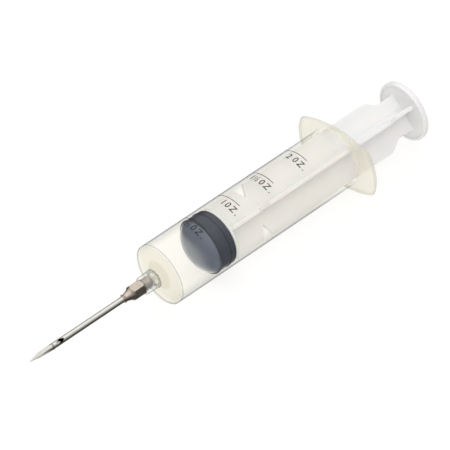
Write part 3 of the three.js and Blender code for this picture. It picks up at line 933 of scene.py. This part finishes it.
def plunger_rod(material):
    foot_reach = WAIST_RADIUS + FOOT_FLARE
    head = softened([
        (SMALLEST_RADIUS, HEAD_FRONT, 0),
        (HEAD_RADIUS - 1.4, HEAD_FRONT, 0.8),
        (HEAD_RADIUS, HEAD_FRONT + 1.4, 0.5),
        (HEAD_RADIUS, HEAD_BACK, 0.3),
        (STEM_RADIUS, HEAD_BACK, 0.2),
        (STEM_RADIUS, GUIDE_FRONT, 0.2),
        (GUIDE_RADIUS - 0.4, GUIDE_FRONT, 0.3),
        (GUIDE_RADIUS, GUIDE_FRONT + 0.3, 0.2),
        (GUIDE_RADIUS, GUIDE_BACK - 0.3, 0.2),
        (GUIDE_RADIUS - 0.45, GUIDE_BACK, 0),
    ])
    rim_step, recess = 0.45, 0.35
    disc = softened([
        (foot_reach, THUMB_FRONT, 0),
        (14.0, THUMB_FRONT, 0.3),
        (14.5, THUMB_FRONT - rim_step, 0.3),
        (THUMB_RADIUS - 0.4, THUMB_FRONT - rim_step, 0.35),
        (THUMB_RADIUS, THUMB_FRONT, 0.3),
        (THUMB_RADIUS, THUMB_BACK - 0.6, 0.5),
        (THUMB_RADIUS - 0.7, THUMB_BACK, 0.4),
        (14.0, THUMB_BACK, 0.4),
        (13.7, THUMB_BACK - recess, 0.3),
        (6.0, THUMB_BACK - recess, 0),
        (0.5, THUMB_BACK - recess, 0),
    ])
    front_section = cross_ring(GUIDE_BACK, RIB_RADIUS - 0.8)
    back_section = cross_ring(THUMB_FRONT, foot_reach)
    rings = [disc_ring(station, radius, front_section) for radius, station in head]
    rings += rib_sections()
    rings += [disc_ring(station, radius, back_section) for radius, station in disc]
    vertices, faces = loft(rings)
    return make_piece("rod_body", vertices, faces, material, "plunger",
                      nodes=["plunger_rod"], sharp=35)


# ---- Printed scale ----

PRINT_THICKNESS, PRINT_SUNK = 0.05, 0.01
LINE_START, LINE_END = math.radians(30), math.radians(113)
LINE_HALF_WIDTH = 0.17
# Each mark has the station of its line, then its glyphs with their angles round the barrel in degrees.
UNIT = (("0", 98.6), ("Z", 111.4), (".", 122.4))
SCALE = (
    (26.4, (("½", 84.5), *UNIT)),
    (48.2, (("1", 87.5), *UNIT)),
    (70.0, (("1", 74.0), ("½", 84.5), *UNIT)),
    (91.8, (("2", 83.0), *UNIT)),
)
LETTER_SIZE, LETTER_NARROWING = 5.0, 0.94
LETTER_WEIGHT, FRACTION_WEIGHT = 0.035, 0.0
FOOT_TO_LINE = 5.4


def wrap_on_barrel(points):
    """Bends flat (station, arc length, height) points onto the barrel's wall."""
    wrapped = []
    for station, arc, height in points:
        angle = arc / BARREL_RADIUS
        radius = BARREL_RADIUS - PRINT_SUNK + height
        wrapped.append((station, radius * math.cos(angle), radius * math.sin(angle)))
    return wrapped


def scale_line(name, station, material):
    front, back = station - LINE_HALF_WIDTH, station + LINE_HALF_WIDTH
    rings = []
    for turn in along(LINE_START, LINE_END, 60):
        arc = turn * BARREL_RADIUS
        section = [(front, arc, 0), (back, arc, 0),
                   (back, arc, PRINT_THICKNESS), (front, arc, PRINT_THICKNESS)]
        rings.append(wrap_on_barrel(section))
    vertices, faces = loft([ring[::-1] for ring in rings])
    return make_piece(name, vertices, faces, material, "barrel")


def flat_glyph(glyph):
    """A glyph's solid as points centred across on 0, with its faces."""
    curve = bpy.data.curves.new("glyph", "FONT")
    curve.body = glyph
    curve.size = LETTER_SIZE
    curve.offset = FRACTION_WEIGHT if glyph == "½" else LETTER_WEIGHT
    curve.extrude = PRINT_THICKNESS / 2
    curve.resolution_u = 6
    flat = bpy.data.objects.new("glyph", curve)
    bpy.context.scene.collection.objects.link(flat)
    bpy.context.view_layer.update()
    mesh = bpy.data.meshes.new_from_object(flat.evaluated_get(bpy.context.evaluated_depsgraph_get()))
    bpy.data.objects.remove(flat)
    bpy.data.curves.remove(curve)
    across = [vertex.co.x for vertex in mesh.vertices]
    middle = (min(across) + max(across)) / 2
    points = [((vertex.co.x - middle) * LETTER_NARROWING, vertex.co.y, vertex.co.z)
              for vertex in mesh.vertices]
    faces = [tuple(reversed(polygon.vertices)) for polygon in mesh.polygons]
    bpy.data.meshes.remove(mesh)
    return points, faces


def scale_text(name, glyphs, station, material):
    """Figures whose tops point to the thumb end, each centred at its own angle."""
    foot = station - FOOT_TO_LINE
    vertices, faces = [], []
    for glyph, degrees in glyphs:
        points, glyph_faces = flat_glyph(glyph)
        arc = math.radians(degrees) * BARREL_RADIUS
        faces += [tuple(len(vertices) + index for index in face) for face in glyph_faces]
        vertices += [(foot + up, arc + across, height + PRINT_THICKNESS / 2)
                     for across, up, height in points]
    return make_piece(name, wrap_on_barrel(vertices), faces, material, "barrel")


# ---- Studio ----

def sky_ramp(tree, height, stops):
    """Greys of the surroundings by height, from 0 straight down to 1 straight up."""
    ramp = tree.nodes.new("ShaderNodeValToRGB")
    # A new ramp has two stops already.
    for _ in stops[2:]:
        ramp.color_ramp.elements.new(0.5)
    for element, (position, grey) in zip(ramp.color_ramp.elements, stops):
        element.position = position
        element.color = (grey, grey, grey, 1)
    tree.links.new(height, ramp.inputs["Fac"])
    return ramp.outputs["Color"]


# The greys of the surroundings on the camera's side and behind, by height.
SKY_IN_FRONT = (
    (0.0, 0.1), (0.36, 0.06), (0.41, 0.07), (0.47, 0.26), (0.62, 0.34), (0.72, 0.5), (0.85, 0.8),
    (1.0, 1.25),
)
SKY_BEHIND = (
    (0.0, 1.3), (0.27, 1.3), (0.34, 0.03), (0.6, 0.03), (0.7, 0.65), (0.85, 0.9), (1.0, 1.2),
)


def surroundings():
    """A room that shows in the gloss: bright above, dark at the horizon, a low card behind."""
    world = bpy.data.worlds.new("studio")
    bpy.context.scene.world = world
    world.use_nodes = True
    tree = world.node_tree
    where = tree.nodes.new("ShaderNodeTexCoord")
    split = tree.nodes.new("ShaderNodeSeparateXYZ")
    tree.links.new(where.outputs["Generated"], split.inputs["Vector"])
    height = tree.nodes.new("ShaderNodeMapRange")
    height.inputs["From Min"].default_value = -1
    height.inputs["From Max"].default_value = 1
    tree.links.new(split.outputs["Z"], height.inputs["Value"])
    in_front = sky_ramp(tree, height.outputs["Result"], SKY_IN_FRONT)
    behind = sky_ramp(tree, height.outputs["Result"], SKY_BEHIND)
    side = tree.nodes.new("ShaderNodeMapRange")
    side.inputs["From Min"].default_value = 0.0
    side.inputs["From Max"].default_value = 0.5
    tree.links.new(split.outputs["Y"], side.inputs["Value"])
    mix = tree.nodes.new("ShaderNodeMix")
    mix.data_type = "RGBA"
    tree.links.new(side.outputs["Result"], mix.inputs["Factor"])
    tree.links.new(in_front, mix.inputs[MIX_FIRST])
    tree.links.new(behind, mix.inputs[MIX_SECOND])
    tree.links.new(mix.outputs[MIX_RESULT], tree.nodes["Background"].inputs["Color"])


def floor():
    """A pale sheet just under the injector, which no gloss mirrors."""
    reach, gap = 3.0, 0.0002
    floor_mesh = bpy.data.meshes.new("floor")
    floor_mesh.from_pydata(
        [(-reach, -reach, 0), (reach, -reach, 0), (reach, reach, 0), (-reach, reach, 0)],
        [], [(0, 1, 2, 3)],
    )
    sheet = bpy.data.objects.new("floor", floor_mesh)
    bpy.context.scene.collection.objects.link(sheet)
    floor_mesh.materials.append(floor_paper())
    sheet.location.z = -gap
    sheet.visible_glossy = False


# Each lamp's name, its place from the injector's middle and its width in metres, and its watts.
LAMPS = (
    ("key", (-0.3, -0.85, 0.75), 0.9, 5.6),
    ("overhead", (0.0, 0.8, 1.0), 1.4, 4.9),
    ("side", (-1.0, -0.2, 0.35), 0.8, 1.1),
)


def lamps():
    middle = (cad_low + cad_high) / 2
    for name, offset, size, power in LAMPS:
        light = bpy.data.lights.new(name, "AREA")
        light.size = size
        light.energy = power
        lamp = bpy.data.objects.new(name, light)
        lamp.location = middle + Vector(offset)
        lamp.rotation_euler = (-Vector(offset)).to_track_quat("-Z", "Y").to_euler()
        lamp.visible_glossy = False
        bpy.context.scene.collection.objects.link(lamp)


def camera():
    """A long lens that looks down from the needle's side, rolled so that the axis climbs."""
    azimuth, elevation, roll = math.radians(-36.35), math.radians(38.70), math.radians(9.07)
    distance, lens = 2.0, 338.3
    target = place(42.65, 0.0, 3.3)
    back = Vector((
        math.sin(azimuth) * math.cos(elevation),
        -math.cos(azimuth) * math.cos(elevation),
        math.sin(elevation),
    ))
    data = bpy.data.cameras.new("camera")
    data.sensor_width = 36.0
    data.lens = lens
    data.clip_start, data.clip_end = 0.05, 20
    seen = bpy.data.objects.new("camera", data)
    level = (-back).to_track_quat("-Z", "Y").to_matrix().to_4x4()
    seen.matrix_world = Matrix.Translation(target + back * distance) @ level @ Matrix.Rotation(
        -roll, 4, "Z")
    bpy.context.scene.collection.objects.link(seen)
    bpy.context.scene.camera = seen


# ---- The injector ----

camera()
surroundings()
floor()
lamps()
bpy.context.scene.view_settings.view_transform = "Standard"

ink = print_ink()
steel = needle_steel()
barrel_shell(barrel_plastic())
lock_collar(collar_plastic())
hub_washer(washer_rubber())
needle_hub(hub_metal())
needle_tube(steel)
needle_point(steel)
solder_seam(solder_metal())
piston_seal(seal_rubber())
plunger_rod(rod_plastic())
for number, (station, glyphs) in enumerate(SCALE, start=1):
    scale_line(f"scale_line_{number}", station, ink)
    scale_text(f"scale_text_{number}", glyphs, station, ink)
